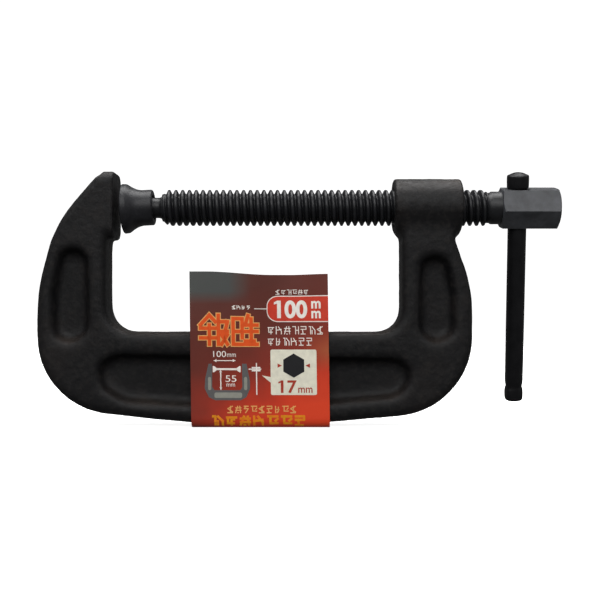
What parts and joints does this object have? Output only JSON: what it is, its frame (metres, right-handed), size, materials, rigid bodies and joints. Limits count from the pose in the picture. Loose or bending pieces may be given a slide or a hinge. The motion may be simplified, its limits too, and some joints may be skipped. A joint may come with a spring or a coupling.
{
  "type": "c clamp",
  "caption": "Forged C clamp with a threaded screw, ball-jointed swivel pad, hex head, sliding tommy bar and a printed card sleeve folded round its spine.",
  "frame": {"origin": "centre of the anvil face, on the screw's axis", "axes": "+X along the screw from the anvil towards the hex head; +Z from the screw's axis away from the spine; +Y through the frame's thickness, away from the pictured side"},
  "size_m": [0.2292, 0.0381, 0.112],
  "materials": {
    "forged_oxide": "black forging scale, satin",
    "screw_black": "black oxide, satin",
    "pad_black": "black oxide, satin",
    "spring_wire": "bright spring wire",
    "bar_black": "black oxide, satin",
    "printed_card": "printed and lightly glossed"
  },
  "bodies": {
    "frame": {"frame": "forged_oxide", "card_sleeve": "printed_card"},
    "carrier": {"pad_retaining_ring": "spring_wire"},
    "screw": {"screw": "screw_black"},
    "swivel_pad": {"swivel_pad": "pad_black"},
    "tommy_bar": {"tommy_bar": "bar_black"}
  },
  "joints": [
    {"name": "screw_advance", "type": "slide", "parent": "frame", "child": "carrier", "axis": [1, 0, 0], "range_m": [-0.0012, 0.0974]},
    {"name": "screw_turn", "type": "hinge", "parent": "carrier", "child": "screw", "pos_m": [0, 0, 0], "axis": [1, 0, 0], "range_deg": [-144, 11688]},
    {"name": "pad_tilt", "type": "hinge", "parent": "carrier", "child": "swivel_pad", "pos_m": [0.0115, 0, 0], "axis": [0, 1, 0], "range_deg": [-3, 9]},
    {"name": "bar_slide", "type": "slide", "parent": "screw", "child": "tommy_bar", "axis": [-0.0332, -0.2418, 0.9698], "range_m": [0, 0.0752]}
  ],
  "couplings": [
    {"joint": "screw_advance", "follows": "screw_turn", "m_per_rad": 0.00047746}
  ]
}
